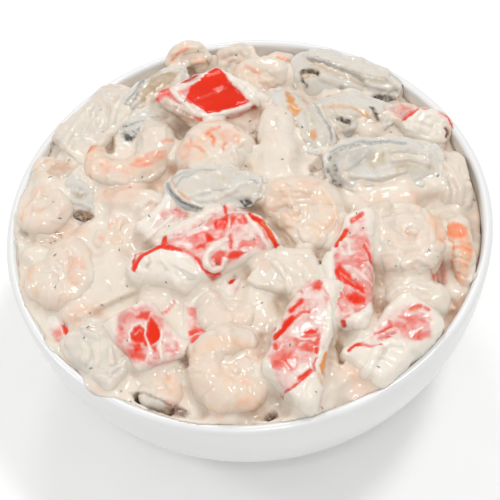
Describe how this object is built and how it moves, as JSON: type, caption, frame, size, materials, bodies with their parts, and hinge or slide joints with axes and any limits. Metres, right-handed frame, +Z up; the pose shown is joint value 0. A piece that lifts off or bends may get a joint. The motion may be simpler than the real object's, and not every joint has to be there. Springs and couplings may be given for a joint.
{
  "type": "bowl of prawn salad",
  "caption": "Round white porcelain bowl heaped with seafood salad: curled prawns, surimi sticks and shelled mussels under a pale creamy dressing.",
  "frame": {"origin": "middle of the foot ring, on the surface that the bowl stands on", "axes": "+Z up out of the bowl, -Y the front of the bowl as the picture shows it, +X to the right"},
  "size_m": [0.17, 0.17, 0.0877],
  "materials": {
    "porcelain": "glazed, glossy, plain white",
    "dressing": "thick cream, glossy and wet",
    "prawn": "cooked, translucent, coated in dressing",
    "surimi": "red skin over white flaky layers, wet",
    "mussel": "grey and tan flesh, wet, coated in dressing",
    "white_fish": "white flesh, coated in dressing"
  },
  "bodies": {
    "root": {"bowl": "porcelain", "dressing": "dressing", "surimi_centre": "surimi", "surimi_back": "surimi", "mussel_centre": "mussel", "prawn_centre_right": "prawn", "prawn_front": "prawn", "surimi_front_right": "surimi", "surimi_right": "surimi", "prawn_right": "prawn", "lobe": "dressing", "prawn_top_centre": "prawn", "prawn_left_c": "prawn", "mussel_right": "mussel", "mussel_orange": "mussel", "mussel_back_right": "mussel", "mussel_back_right_low": "mussel", "surimi_front_left": "surimi", "white_centre": "white_fish", "prawn_cream": "prawn", "surimi_behind": "surimi", "prawn_left": "prawn", "prawn_left_rim": "prawn", "prawn_left_upper": "prawn", "white_left_rim": "white_fish", "mussel_back_left": "mussel", "mussel_foot": "mussel", "mussel_bit": "mussel", "prawn_mid": "prawn", "surimi_low_right": "surimi", "lump_right": "white_fish", "prawn_rim_right": "prawn", "prawn_rim_right_up": "prawn", "surimi_rim_back_right": "surimi", "prawn_rim_back": "prawn", "prawn_back": "prawn", "prawn_back_2": "prawn", "prawn_back_pink": "prawn", "prawn_front_left": "prawn", "lump_front_left": "white_fish", "surimi_rim_left": "surimi", "surimi_front_mid": "surimi", "surimi_small": "surimi", "surimi_deep_right": "surimi"}
  },
  "joints": []
}
